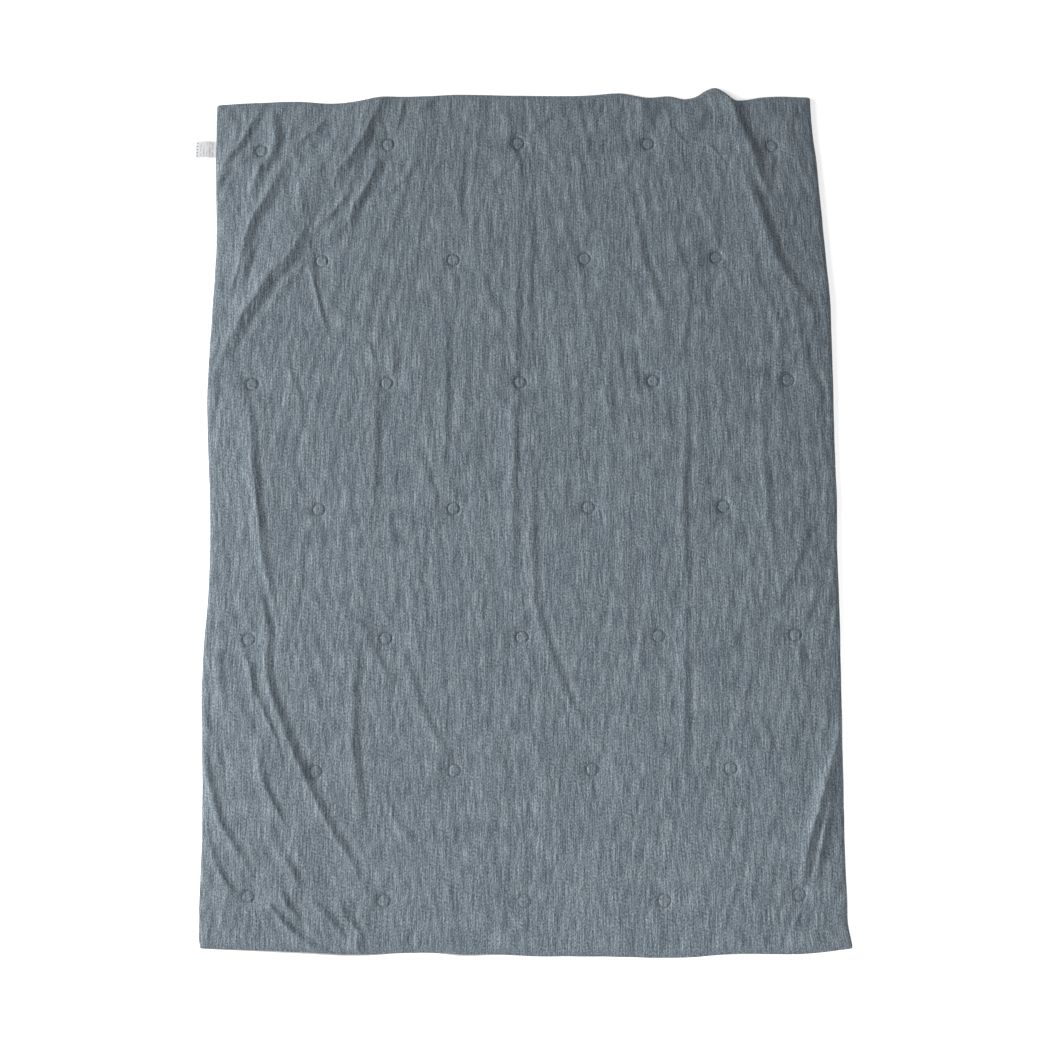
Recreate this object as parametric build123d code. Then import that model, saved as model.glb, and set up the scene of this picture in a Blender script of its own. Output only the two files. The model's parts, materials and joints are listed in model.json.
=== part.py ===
"""Camp quilt: a heather face and a white back sewn together edge to edge and turned
right side out, with one soft batt between them held by rows of ring tacks.

The quilt lies flat with its face up. +X is across the width, +Y points to the head
edge and +Z is up. The origin is the centre of the underside, on the ground.
Millimetres throughout.
"""
from build123d import *
import math
import os

# Overall size as laid. The panels are cut 1524 x 2032 (60 x 80 in), and the ripples
# of the lofty fill take up the difference.
WIDTH = 1470.0
LENGTH = 2020.0
FABRIC = 0.6
CLEARANCE = 0.2

# Rolled edge of the face: how far in from the edge, and how high, each level lies.
SEAM_ALLOWANCE = 12.0
EDGE_TOP = 3 * FABRIC
LEVELS = [(0.0, EDGE_TOP), (15.0, 7.0), (60.0, 14.0), (140.0, 18.0)]
FACE_SLOPE = (LEVELS[1][1] - LEVELS[0][1]) / (LEVELS[1][0] - LEVELS[0][0])

# Ring tacks: seven rows, alternately five and four across, on a staggered grid. The
# first and last rows stand a little closer, and the four corner tacks draw inward.
TACK_ROWS = 7
ROW_PITCH = 301.5
END_ROW_PITCH = 287.0
COLUMN_PITCH = 315.0
WIDE_ROW_TACKS = 5
CORNER_PULL = 8.0
TACK_RADIUS = 14.0
THREAD_WIDTH = 1.2
THREAD_HEIGHT = 0.6
LEG_RADIUS = 0.3
LEG_COUNT = 12
DIMPLE_FLOOR_Z = 3.6
DIMPLE_FLOOR_RADIUS = 15.5
DIMPLE_RIM_RADIUS = 50.0
DIMPLE_TOP_Z = 18.5

# Seam threads: the machine seam round the edge, and the hand-closed turning gap in it.
SEAM_INSET = 1.5
SEAM_THREAD = 0.6
GAP_START_X = -220.0
GAP_END_X = -20.0

# Care label: a satin ribbon caught in the left edge seam near the head.
LABEL_LENGTH = 50.0
LABEL_WIDTH = 42.0
LABEL_THICKNESS = 0.4
LABEL_CENTRE_Y = 889.0
LABEL_HINGE_X = -WIDTH / 2 - 2.0
LABEL_HINGE_Z = 2 * FABRIC
LABEL_HINGE_GAP = 0.5
LABEL_ROOT_GAP = 1.0


def slab(inset, z_low, z_high):
    """A flat rectangular layer whose sides lie a given distance inside the edge."""
    height = z_high - z_low
    layer = Box(WIDTH - 2 * inset, LENGTH - 2 * inset, height)
    return Pos(0, 0, z_low + height / 2) * layer


def crown(levels):
    """A low mound through rectangular levels, each given as (inset, height)."""
    sections = [
        Pos(0, 0, z) * Rectangle(WIDTH - 2 * inset, LENGTH - 2 * inset)
        for inset, z in levels
    ]
    return loft(sections, ruled=True)


def row_height(row):
    """How far up the quilt a row of tacks lies, counting rows from 0 at the head."""
    steps = (TACK_ROWS - 1) / 2 - row
    end_row = abs(steps) == (TACK_ROWS - 1) / 2
    closing_up = ROW_PITCH - END_ROW_PITCH if end_row else 0.0
    return math.copysign(abs(steps) * ROW_PITCH - closing_up, steps)


def tack_places():
    """Yield the row, column, x and y of every ring tack, from the head's left corner."""
    for row in range(TACK_ROWS):
        count = WIDE_ROW_TACKS - row % 2
        for column in range(count):
            x = (column - (count - 1) / 2) * COLUMN_PITCH
            y = row_height(row)
            if row in (0, TACK_ROWS - 1) and column in (0, count - 1):
                x -= math.copysign(CORNER_PULL, x)
                y -= math.copysign(CORNER_PULL, y)
            yield row + 1, column + 1, x, y


def dimples(drop):
    """The funnels that the tacks pull into the face, lowered by a given distance."""
    height = DIMPLE_TOP_Z - DIMPLE_FLOOR_Z
    funnel = Cone(DIMPLE_FLOOR_RADIUS, DIMPLE_RIM_RADIUS, height)
    middle = DIMPLE_FLOOR_Z + height / 2 - drop
    return [Pos(x, y, middle) * funnel for _, _, x, y in tack_places()]


def lowered(drop):
    """The crown's levels moved straight down, starting where they meet the flange."""
    start = (drop / FACE_SLOPE, EDGE_TOP)
    return [start] + [(inset, z - drop) for inset, z in LEVELS[1:]]


def make_face_panel():
    """Top fabric: a crowned, dimpled skin with its seam allowance turned under."""
    outside = slab(0, 2 * FABRIC, EDGE_TOP) + crown(LEVELS)
    outside -= dimples(0)
    inside = crown(lowered(FABRIC)) - dimples(FABRIC)
    inside += slab(SEAM_ALLOWANCE, 2 * FABRIC, EDGE_TOP)
    return outside - inside


def make_back_panel():
    """Bottom fabric: a flat sheet with its seam allowance turned in on top."""
    flange = slab(0, FABRIC, 2 * FABRIC) - slab(SEAM_ALLOWANCE, FABRIC, 2 * FABRIC)
    return slab(0, 0, FABRIC) + flange


def make_fill_batting():
    """The batt: it fills the shell, and the tacks press it thin."""
    drop = FABRIC + CLEARANCE
    levels = lowered(drop)
    levels[0] = (levels[0][0], EDGE_TOP + CLEARANCE)
    mound = crown(levels) - dimples(drop)
    core = slab(SEAM_ALLOWANCE + CLEARANCE, FABRIC + CLEARANCE, EDGE_TOP + CLEARANCE)
    return mound + core


def ring(z_low, height):
    """A flat ring of thread with its lower face at a given height."""
    outer = Cylinder(TACK_RADIUS + THREAD_WIDTH / 2, height)
    inner = Cylinder(TACK_RADIUS - THREAD_WIDTH / 2, height)
    return Pos(0, 0, z_low + height / 2) * (outer - inner)


def make_tack():
    """One ring tack: a thread ring on each fabric and the stitches between them."""
    back_ring = ring(0, FABRIC - CLEARANCE / 2)
    face_ring = ring(DIMPLE_FLOOR_Z - CLEARANCE, THREAD_HEIGHT)
    leg_low = CLEARANCE
    leg_height = DIMPLE_FLOOR_Z - leg_low
    leg = Pos(TACK_RADIUS, 0, leg_low + leg_height / 2) * Cylinder(LEG_RADIUS, leg_height)
    legs = [Rot(0, 0, 360 / LEG_COUNT * number) * leg for number in range(LEG_COUNT)]
    return back_ring + face_ring + legs


def seam_track():
    """The square-section loop that the edge seam follows, right round the quilt."""
    low = 2 * FABRIC - SEAM_THREAD / 2
    high = low + SEAM_THREAD
    return slab(SEAM_INSET, low, high) - slab(SEAM_INSET + SEAM_THREAD, low, high)


def turning_gap():
    """A block over the stretch of the foot edge that is closed by hand."""
    length = GAP_END_X - GAP_START_X
    block = Box(length, 4 * SEAM_ALLOWANCE, 4 * SEAM_ALLOWANCE)
    return Pos(GAP_START_X + length / 2, -LENGTH / 2, 0) * block


def make_care_label():
    """The free flap of the label, lying outward from the edge."""
    near_x = LABEL_HINGE_X - LABEL_HINGE_GAP
    flap = Box(LABEL_LENGTH, LABEL_WIDTH, LABEL_THICKNESS)
    return Pos(near_x - LABEL_LENGTH / 2, LABEL_CENTRE_Y, LABEL_HINGE_Z) * flap


def make_label_root():
    """The end of the label that is sewn in between the two seam allowances."""
    start_x = LABEL_HINGE_X + LABEL_ROOT_GAP
    end_x = -WIDTH / 2 + SEAM_ALLOWANCE
    root = Box(end_x - start_x, LABEL_WIDTH, LABEL_THICKNESS)
    return Pos((start_x + end_x) / 2, LABEL_CENTRE_Y, LABEL_HINGE_Z) * root


def main():
    os.makedirs("parts", exist_ok=True)
    track = seam_track()
    gap = turning_gap()
    pieces = {
        "face_panel": make_face_panel(),
        "back_panel": make_back_panel(),
        "fill_batting": make_fill_batting(),
        "edge_seam_thread": track - gap,
        "closing_seam_thread": track & gap,
        "care_label": make_care_label(),
        "care_label_root": make_label_root(),
    }
    tack = make_tack()
    for row, column, x, y in tack_places():
        pieces[f"ring_tack_{row}_{column}"] = Pos(x, y, 0) * tack
    for name, shape in pieces.items():
        export_step(shape, f"parts/{name}.step")


main()
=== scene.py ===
"""Looks of the camp quilt: heather face, white back, batting, ring tacks, seams and care label.

Metres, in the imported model's frame: +X across the quilt, +Y to the head edge, +Z up from the floor.
"""
import json
import math
import bmesh
import bpy
import numpy as np
from mathutils import Matrix, Vector
from mathutils.bvhtree import BVHTree


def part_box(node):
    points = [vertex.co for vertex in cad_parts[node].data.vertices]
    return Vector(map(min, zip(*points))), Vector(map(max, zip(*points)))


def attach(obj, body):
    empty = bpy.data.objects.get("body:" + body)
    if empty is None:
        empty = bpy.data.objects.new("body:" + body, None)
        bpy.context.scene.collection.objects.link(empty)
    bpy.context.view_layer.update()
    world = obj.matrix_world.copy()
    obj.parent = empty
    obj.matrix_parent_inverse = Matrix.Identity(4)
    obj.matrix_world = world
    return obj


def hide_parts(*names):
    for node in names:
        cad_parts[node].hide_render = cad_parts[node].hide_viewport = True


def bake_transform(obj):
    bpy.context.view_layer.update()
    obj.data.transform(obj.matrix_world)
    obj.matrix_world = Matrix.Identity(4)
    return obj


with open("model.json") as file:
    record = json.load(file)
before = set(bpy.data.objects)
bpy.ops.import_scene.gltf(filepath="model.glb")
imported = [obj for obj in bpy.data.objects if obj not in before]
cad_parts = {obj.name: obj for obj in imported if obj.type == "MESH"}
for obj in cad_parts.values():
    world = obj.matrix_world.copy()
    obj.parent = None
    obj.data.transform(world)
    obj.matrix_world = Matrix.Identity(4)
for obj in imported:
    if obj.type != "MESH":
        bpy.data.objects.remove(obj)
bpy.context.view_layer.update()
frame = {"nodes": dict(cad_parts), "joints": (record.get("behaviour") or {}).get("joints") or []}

MM = 0.001
face_low, face_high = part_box("face_panel")
HALF_WIDTH = face_high.x
HALF_LENGTH = face_high.y
LABEL_LOW, LABEL_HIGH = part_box("care_label")
HINGE = frame["joints"][0]["pos_m"]
GAP_LOW, GAP_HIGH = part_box("closing_seam_thread")
TACKS = {
    name: ((low.x + high.x) / 2, (low.y + high.y) / 2)
    for name in frame["nodes"] if name.startswith("ring_tack_")
    for low, high in [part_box(name)]
}
TACK_XY = np.array([TACKS[name] for name in sorted(TACKS)])
TACK_RADIUS = 0.014

# Camera: above the middle of the quilt, leaning a little towards its foot.
CAMERA_AIM = (0.0086, -0.0392, 0.0)
CAMERA_DISTANCE = 3.2
CAMERA_TILT = math.radians(7.97)
CAMERA_ROLL = math.radians(-0.49)
CAMERA_LENS = 46.9

# Light: a white sky, a soft key that comes low from the left and a little from the head, a nearer
# panel on the same side, whose light fades across the quilt, and a weak high panel at the foot.
SKY = 0.265
KEY = 1.95
KEY_FROM = 172
KEY_ELEVATION = 20
KEY_SOFTNESS = 22
FLOOR_WHITE = 0.92
FLOOR_GLOW = 0.45
PANELS = {
    "side_panel": (112, (-3.5, 0.2, 1.35), 1.2),
    "foot_panel": (33, (0.5, -2.0, 2.3), 1.4),
}

# Heights of the quilt as it lies.
LOFT = 12.5 * MM
TACK_DIP = 4.0 * MM
DIP_RADIUS = 0.042
BUTTON_RISE = 1.2 * MM
GROOVE_DEPTH = 1.6 * MM
GROOVE_WIDTH = 0.0024
CALM_RADIUS = 0.018
FIRM_HEIGHT = 18.0 * MM
FIRM_REACH = 7.0 * MM
SEAM_HEIGHT = 3.0 * MM
ROLL_WIDTH = 0.015
EDGE_LOFT = 7.5 * MM
EDGE_SPAN = 0.13
FLOOR_GAP = 0.4 * MM
BACK_RIM = 0.008
SEAM_ALLOWANCE = 0.012
ALLOWANCE_ROWS = [0.0015, SEAM_ALLOWANCE]

# The batt: how far inside the edge it ends, its clearance under the face, and its grid.
BATT_MARGIN = 6 * MM
BATT_CLEARANCE = 1.6 * MM
BATT_THIN = 0.4 * MM
BATT_COLUMNS = 150
BATT_ROWS = 205

# The slack of the face over the batt, how firmly the batt holds it, and how long it settles.
SLACK_ACROSS = 0.008
SLACK_ALONG = 0.002
BATT_HOLD = 0.12
BEND_STIFFNESS = 0.05
PUSH_FRAMES = 6
SETTLE_FRAMES = 14
SETTLE_REACH = 6 * MM

# How far the laid outline stands outside the plain rectangle, in millimetres, at stations in metres.
HEAD_EDGE = [
    (-0.735, -7), (-0.62, -1), (-0.53, 0), (-0.45, -5), (-0.39, 1), (-0.34, 11), (-0.27, 11), (-0.15, 15),
    (0.00, 11), (0.19, 11), (0.25, 15), (0.32, 3), (0.37, 6), (0.41, -2), (0.435, 4), (0.46, 20),
    (0.486, 26), (0.50, 18), (0.53, -5), (0.55, -6), (0.60, 1), (0.66, 3), (0.735, 0),
]
FOOT_EDGE = [
    (-0.735, -15), (-0.60, -7), (-0.49, -1), (-0.40, 4), (-0.34, 3), (-0.28, -1), (-0.20, 0), (-0.15, 6),
    (-0.05, 5), (0.03, 8), (0.10, 7), (0.20, 8), (0.35, 12), (0.46, 8), (0.55, 8), (0.63, 6), (0.69, 0),
    (0.735, -5),
]
LEFT_EDGE = [
    (-1.01, -3), (-0.89, -2), (-0.78, -4), (-0.55, 0), (-0.44, 4), (-0.32, 2), (-0.21, -5), (-0.09, -7),
    (0.03, -4), (0.15, 3), (0.27, 8), (0.39, 5), (0.50, 0), (0.64, -5), (0.86, 1), (1.01, 1),
]
RIGHT_EDGE = [
    (-1.01, 2), (-0.96, -7), (-0.90, -7), (-0.79, -8), (-0.68, -6), (-0.45, -2), (-0.30, 1), (-0.22, 2),
    (-0.10, 2), (0.01, 6), (0.13, 6), (0.375, 9), (0.50, 9), (0.62, 2), (0.75, -5), (0.85, -11),
    (0.93, -18), (1.01, -20),
]
EDGE_REACH = 0.22
FOLD_GAIN = 1.15
CORNER_RADIUS = 0.010
SHARP_FOLD = 4.4
CREASE_WIDTH = 6

# The grids of the face and back, and how far round a fold and a tack they are cut finer.
FACE_PITCH = (6.6 * MM, 6.8 * MM)
FACE_EDGE_PITCH = 1.6 * MM
BACK_PITCH = 9 * MM
BACK_EDGE_PITCH = 1.0 * MM
FOLD_CUT_REACH = 0.012
FACE_TACK_CUT = 0.0225
BACK_TACK_CUT = 0.030

# How far the white back shows outside the seam along each edge, in millimetres.
FOOT_ROLL = [
    (-0.735, 4), (-0.60, 6), (-0.42, 6.5), (-0.30, 4.5), (-0.24, 3.5), (-0.15, 7), (-0.02, 4), (0.10, 1.5),
    (0.38, 2), (0.50, 5), (0.60, 2), (0.735, 1.5),
]
SIDE_ROLL = 1.2

# Folds, each as (height in millimetres, half width in millimetres, points in metres). The line is
# the shaded flank; the crest stands on its left and a shallow trough on its right.
FOLDS = [
    # head left
    (6.0, 9, [(-0.617, 0.995), (-0.645, 0.945), (-0.668, 0.905), (-0.695, 0.875), (-0.715, 0.835),
              (-0.733, 0.800)]),
    (6.0, 8, [(-0.655, 0.860), (-0.690, 0.843), (-0.715, 0.815), (-0.735, 0.778)]),
    (7.5, 12, [(-0.590, 0.960), (-0.583, 0.910), (-0.594, 0.868), (-0.622, 0.830), (-0.645, 0.775)]),
    (7.0, 14, [(-0.565, 0.835), (-0.590, 0.790), (-0.610, 0.750), (-0.640, 0.705), (-0.655, 0.660),
               (-0.666, 0.600), (-0.682, 0.545)]),
    (4.0, 9, [(-0.622, 0.672), (-0.640, 0.630), (-0.652, 0.595), (-0.662, 0.555)]),
    (4.4, 8, [(-0.405, 0.990), (-0.440, 0.970), (-0.470, 0.955), (-0.500, 0.925), (-0.535, 0.895),
              (-0.570, 0.880)]),
    (6.0, 13, [(-0.325, 1.006), (-0.345, 0.960), (-0.370, 0.910), (-0.395, 0.870), (-0.425, 0.835),
               (-0.442, 0.795)]),
    (3.6, 9, [(-0.275, 1.006), (-0.285, 0.955), (-0.303, 0.920)]),
    (2.2, 8, [(-0.200, 1.000), (-0.235, 0.970), (-0.272, 0.955)]),
    (1.6, 5, [(-0.318, 0.955), (-0.335, 0.925), (-0.337, 0.900)]),
    (5.5, 11, [(-0.302, 0.872), (-0.335, 0.845), (-0.360, 0.790), (-0.392, 0.740), (-0.405, 0.695),
               (-0.448, 0.655)]),
    (5.2, 9, [(-0.398, 0.785), (-0.425, 0.745), (-0.455, 0.710), (-0.492, 0.683)]),
    (9.0, 15, [(-0.505, 0.690), (-0.535, 0.635), (-0.560, 0.598), (-0.595, 0.565), (-0.620, 0.520),
               (-0.650, 0.475), (-0.675, 0.420), (-0.697, 0.370)]),
    (2.2, 5, [(-0.500, 0.610), (-0.495, 0.570), (-0.480, 0.510), (-0.465, 0.450)]),
    (1.8, 5, [(-0.362, 0.402), (-0.352, 0.380), (-0.344, 0.355)]),
    (2.2, 8, [(-0.245, 0.860), (-0.270, 0.810), (-0.310, 0.770), (-0.352, 0.735)]),
    # head right
    (7.0, 12, [(0.512, 1.030), (0.524, 1.000), (0.545, 0.928), (0.566, 0.874), (0.584, 0.820),
               (0.602, 0.778)]),
    (6.2, 12, [(0.547, 0.820), (0.572, 0.748), (0.593, 0.676), (0.614, 0.604), (0.644, 0.544),
               (0.674, 0.502)]),
    (3.2, 10, [(0.431, 1.005), (0.446, 0.970), (0.458, 0.940)]),
    (1.5, 5, [(0.284, 0.930), (0.298, 0.922), (0.312, 0.907)]),
    (1.7, 5, [(0.345, 0.913), (0.368, 0.931), (0.382, 0.920), (0.396, 0.900), (0.410, 0.886)]),
    (2.0, 5, [(0.420, 0.900), (0.436, 0.894), (0.462, 0.876), (0.484, 0.855), (0.500, 0.832)]),
    (2.4, 9, [(0.308, 0.994), (0.311, 0.940)]),
    (2.4, 9, [(0.470, 0.664), (0.494, 0.604)]),
    (1.2, 6, [(0.535, 1.000), (0.570, 0.955)]),
    (1.5, 11, [(0.255, 0.800), (0.285, 0.690), (0.300, 0.600), (0.330, 0.500)]),
    (1.4, 10, [(0.250, 0.580), (0.290, 0.500), (0.320, 0.400)]),
    (1.4, 10, [(0.280, 0.640), (0.320, 0.550), (0.350, 0.420)]),
    (1.8, 9, [(0.150, 0.830), (0.155, 0.740), (0.180, 0.680)]),
    (1.6, 9, [(0.105, 0.740), (0.115, 0.670), (0.150, 0.600), (0.155, 0.480)]),
    (1.8, 9, [(0.405, 0.560), (0.400, 0.460), (0.385, 0.360)]),
    # down the middle
    (1.6, 6, [(0.090, 0.960), (0.047, 0.928), (0.024, 0.911)]),
    (1.5, 6, [(-0.004, 0.890), (-0.040, 0.870)]),
    (2.6, 10, [(-0.030, 0.990), (-0.018, 0.900), (0.005, 0.840), (0.004, 0.770)]),
    (2.6, 10, [(-0.010, 0.660), (-0.004, 0.500), (-0.010, 0.300), (-0.014, 0.100), (-0.018, -0.150)]),
    (2.6, 10, [(0.030, 0.120), (0.028, -0.060), (0.032, -0.220), (0.060, -0.320), (0.100, -0.430),
               (0.140, -0.500)]),
    (1.6, 9, [(0.030, 0.700), (0.028, 0.560), (0.028, 0.400)]),
    (1.8, 9, [(-0.140, 0.800), (-0.136, 0.700), (-0.160, 0.600), (-0.150, 0.490)]),
    (1.6, 8, [(-0.175, 0.400), (-0.172, 0.260), (-0.178, 0.060)]),
    (1.6, 8, [(-0.080, 0.560), (-0.060, 0.470)]),
    (1.5, 8, [(-0.090, 0.420), (-0.085, 0.340)]),
    (1.6, 8, [(-0.250, 0.180), (-0.220, 0.080), (-0.200, 0.030)]),
    (1.8, 9, [(0.140, 0.280), (0.135, 0.130)]),
    (1.8, 10, [(0.210, 0.300), (0.215, 0.190)]),
    (2.4, 11, [(0.395, 0.330), (0.390, 0.160), (0.380, 0.000), (0.382, -0.200)]),
    (2.8, 9, [(0.380, -0.200), (0.374, -0.400), (0.370, -0.620)]),
    (2.0, 12, [(0.575, 0.350), (0.570, 0.150), (0.580, -0.050), (0.600, -0.200)]),
    # left
    (4.6, 11, [(-0.628, 0.220), (-0.625, 0.100), (-0.612, 0.000), (-0.602, -0.100), (-0.580, -0.180)]),
    (2.2, 7, [(-0.700, 0.130), (-0.670, 0.100), (-0.655, 0.050), (-0.650, -0.030), (-0.640, -0.100)]),
    (2.2, 9, [(-0.340, 0.300), (-0.338, 0.180), (-0.342, 0.060)]),
    (3.2, 11, [(-0.380, -0.330), (-0.385, -0.450), (-0.385, -0.550), (-0.375, -0.630),
               (-0.362, -0.710)]),
    (1.8, 8, [(-0.515, -0.050), (-0.510, -0.150), (-0.520, -0.220)]),
    (2.6, 7, [(-0.402, -0.235), (-0.380, -0.262), (-0.355, -0.287)]),
    (3.8, 8, [(-0.350, -0.300), (-0.330, -0.350), (-0.307, -0.390), (-0.304, -0.435)]),
    (3.2, 9, [(-0.262, -0.360), (-0.235, -0.450), (-0.215, -0.490), (-0.190, -0.535),
              (-0.160, -0.590)]),
    (2.0, 7, [(-0.550, 0.350), (-0.520, 0.270)]),
    (1.8, 8, [(-0.530, 0.100), (-0.500, 0.000), (-0.478, -0.050)]),
    (2.2, 8, [(-0.712, 0.330), (-0.712, 0.270)]),
    (1.8, 8, [(-0.300, 0.400), (-0.296, 0.310)]),
    # foot left
    (6.4, 10, [(-0.600, -0.220), (-0.586, -0.300), (-0.584, -0.370), (-0.570, -0.430), (-0.540, -0.510),
               (-0.515, -0.570), (-0.480, -0.640), (-0.455, -0.690), (-0.420, -0.750), (-0.385, -0.800),
               (-0.368, -0.840), (-0.342, -0.880)]),
    (3.6, 6, [(-0.647, -0.305), (-0.625, -0.360), (-0.610, -0.420), (-0.580, -0.490), (-0.560, -0.530),
              (-0.548, -0.575)]),
    (6.5, 9, [(-0.730, -0.540), (-0.720, -0.600), (-0.705, -0.660), (-0.690, -0.710), (-0.665, -0.750),
              (-0.640, -0.785), (-0.615, -0.825)]),
    (2.8, 8, [(-0.725, -0.440), (-0.722, -0.480), (-0.718, -0.520)]),
    (3.0, 6, [(-0.706, -0.535), (-0.692, -0.575), (-0.684, -0.612)]),
    (3.4, 9, [(-0.692, -0.280), (-0.690, -0.400), (-0.675, -0.450), (-0.652, -0.495)]),
    (2.6, 7, [(-0.622, -0.350), (-0.618, -0.400), (-0.614, -0.445)]),
    (6.0, 9, [(-0.602, -0.565), (-0.590, -0.620), (-0.565, -0.670), (-0.535, -0.720)]),
    (2.4, 8, [(-0.578, -0.680), (-0.565, -0.740)]),
    (6.0, 9, [(-0.548, -0.785), (-0.520, -0.820), (-0.502, -0.858)]),
    (6.2, 8, [(-0.717, -0.755), (-0.695, -0.810), (-0.672, -0.845), (-0.654, -0.868)]),
    (2.6, 7, [(-0.652, -0.825), (-0.622, -0.864)]),
    (7.5, 7, [(-0.602, -0.878), (-0.570, -0.900), (-0.540, -0.935), (-0.505, -0.965), (-0.470, -0.985),
              (-0.445, -0.998)]),
    (2.0, 5, [(-0.616, -0.880), (-0.606, -0.920), (-0.594, -0.950)]),
    (6.2, 8, [(-0.552, -0.862), (-0.530, -0.900), (-0.502, -0.925)]),
    (4.2, 8, [(-0.495, -0.935), (-0.452, -0.965)]),
    (6.2, 8, [(-0.478, -0.887), (-0.450, -0.910), (-0.420, -0.940), (-0.402, -0.960)]),
    (6.2, 8, [(-0.418, -0.885), (-0.400, -0.920), (-0.375, -0.945), (-0.357, -0.965)]),
    (2.2, 5, [(-0.672, -0.962), (-0.645, -0.982), (-0.618, -0.993)]),
    (5.0, 8, [(-0.382, -0.965), (-0.363, -1.000)]),
    (3.0, 8, [(-0.652, -0.205), (-0.630, -0.260), (-0.607, -0.305)]),
    (2.6, 8, [(-0.592, -0.235), (-0.573, -0.305)]),
    (1.8, 9, [(-0.310, -0.660), (-0.290, -0.710), (-0.240, -0.770)]),
    # foot right
    (12.0, 10, [(0.738, -0.500), (0.724, -0.550), (0.706, -0.600), (0.690, -0.650), (0.675, -0.700),
                (0.656, -0.750), (0.645, -0.800), (0.634, -0.850)]),
    (9.0, 7, [(0.725, -0.610), (0.706, -0.660), (0.692, -0.720), (0.680, -0.780), (0.664, -0.840)]),
    (2.6, 9, [(0.670, -0.060), (0.640, -0.130), (0.605, -0.200)]),
    (3.2, 9, [(0.682, -0.200), (0.662, -0.245), (0.648, -0.280)]),
    (2.8, 9, [(0.642, -0.300), (0.640, -0.390)]),
    (1.8, 7, [(0.602, -0.260), (0.578, -0.295)]),
    (2.0, 7, [(0.702, -0.450), (0.694, -0.510)]),
    (2.2, 5, [(0.640, -0.893), (0.615, -0.930), (0.598, -0.962)]),
    (1.6, 9, [(0.530, -0.380), (0.510, -0.440), (0.506, -0.500)]),
]

# Soft vertical ripples of the slack fabric: (height mm, wavelength across, wavelength along, seed).
RIPPLES = [(1.3, 0.120, 0.55, 11), (0.9, 0.050, 0.30, 12), (0.5, 0.026, 0.13, 13)]
BEND_LEFT = 1.25
BEND_RIGHT = 0.5
PUCKER_SEED = 5

# The care label: how deep its ends are sewn in, and its print of bars and one row of dots, placed
# by how far along the ribbon and across it they lie, in metres.
LABEL_ROOT = 0.010
BAR_PITCH = 0.0072
BARS_FROM_MIDDLE = 0.0165
BARS_AT = 0.032
BARS_REACH = 0.018
DOT_PITCH = 0.0078
DOTS_AT = 0.0555
DOTS_FROM_MIDDLE = 0.0190

# Broad swells, each as (height in millimetres, width to its left and right, points in metres).
SWELLS = [
    (4.5, 0.060, 0.020, [(0.500, 1.060), (0.520, 1.000), (0.545, 0.920), (0.566, 0.860),
                         (0.590, 0.780)]),
    (2.6, 0.055, 0.022, [(0.547, 0.820), (0.572, 0.748), (0.593, 0.676), (0.614, 0.604),
                         (0.660, 0.510)]),
    (3.0, 0.040, 0.030, [(0.300, 1.030), (0.305, 0.960), (0.310, 0.900)]),
    (3.5, 0.030, 0.030, [(0.395, 1.010), (0.415, 0.960), (0.425, 0.900)]),
    (4.5, 0.030, 0.045, [(-0.345, 1.040), (-0.390, 0.960), (-0.440, 0.890), (-0.500, 0.800),
                         (-0.560, 0.700), (-0.640, 0.600)]),
    (4.0, 0.250, 0.300, [(0.430, 1.050), (0.440, 0.500), (0.430, 0.000), (0.420, -0.450)]),
    (3.5, 0.050, 0.060, [(-0.690, -0.330), (-0.640, -0.450), (-0.580, -0.560), (-0.500, -0.700),
                         (-0.430, -0.820)]),
    (3.0, 0.045, 0.040, [(-0.640, 0.300), (-0.630, 0.100), (-0.610, -0.100)]),
]


def smoothstep(x):
    """A smooth step from 0 to 1, as x goes from 0 to 1."""
    t = np.clip(x, 0.0, 1.0)
    return t * t * (3 - 2 * t)


def curve(stations, at):
    """A smooth curve through a few stations, as a cubic with finite-difference slopes."""
    x, y = np.array(stations, float).T
    slope = np.gradient(y, x)
    i = np.clip(np.searchsorted(x, at) - 1, 0, len(x) - 2)
    step = x[i + 1] - x[i]
    t = np.clip((at - x[i]) / step, 0, 1)
    a = (1 + 2 * t) * (1 - t) ** 2 * y[i] + t * t * (3 - 2 * t) * y[i + 1]
    b = t * (1 - t) ** 2 * step * slope[i] - t * t * (1 - t) * step * slope[i + 1]
    return a + b


def noise(x, y, seed):
    """Gradient noise from about -1 to 1, with one feature to a unit."""
    angle = np.random.default_rng(seed).random((64, 64)) * 2 * math.pi
    xi, yi = np.floor(x).astype(int), np.floor(y).astype(int)
    xf, yf = x - xi, y - yi
    u, v = (t ** 3 * (t * (6 * t - 15) + 10) for t in (xf, yf))

    def corner(dx, dy):
        a = angle[(xi + dx) % 64, (yi + dy) % 64]
        return np.cos(a) * (xf - dx) + np.sin(a) * (yf - dy)

    low = corner(0, 0) * (1 - u) + corner(1, 0) * u
    high = corner(0, 1) * (1 - u) + corner(1, 1) * u
    return 1.4 * (low * (1 - v) + high * v)


def to_line(x, y, points):
    """Distance to the right of a line, and how far along it from 0 to 1, for points near it."""
    p = np.array(points)
    lengths = np.linalg.norm(np.diff(p, axis=0), axis=1)
    starts = np.concatenate([[0], np.cumsum(lengths)])
    best = np.full(x.shape, 1e9)
    side = np.zeros(x.shape)
    along = np.zeros(x.shape)
    for (ax, ay), (bx, by), length, start in zip(p[:-1], p[1:], lengths, starts):
        tx, ty = (bx - ax) / length, (by - ay) / length
        rx, ry = (-ty, tx) if -ty > 0 else (ty, -tx)
        t = np.clip((x - ax) * tx + (y - ay) * ty, 0, length)
        dx, dy = x - ax - t * tx, y - ay - t * ty
        d = np.hypot(dx, dy)
        near = d < best
        best = np.where(near, d, best)
        side = np.where(near, np.sign(dx * rx + dy * ry) * d, side)
        along = np.where(near, (start + t) / starts[-1], along)
    return side, along


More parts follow.
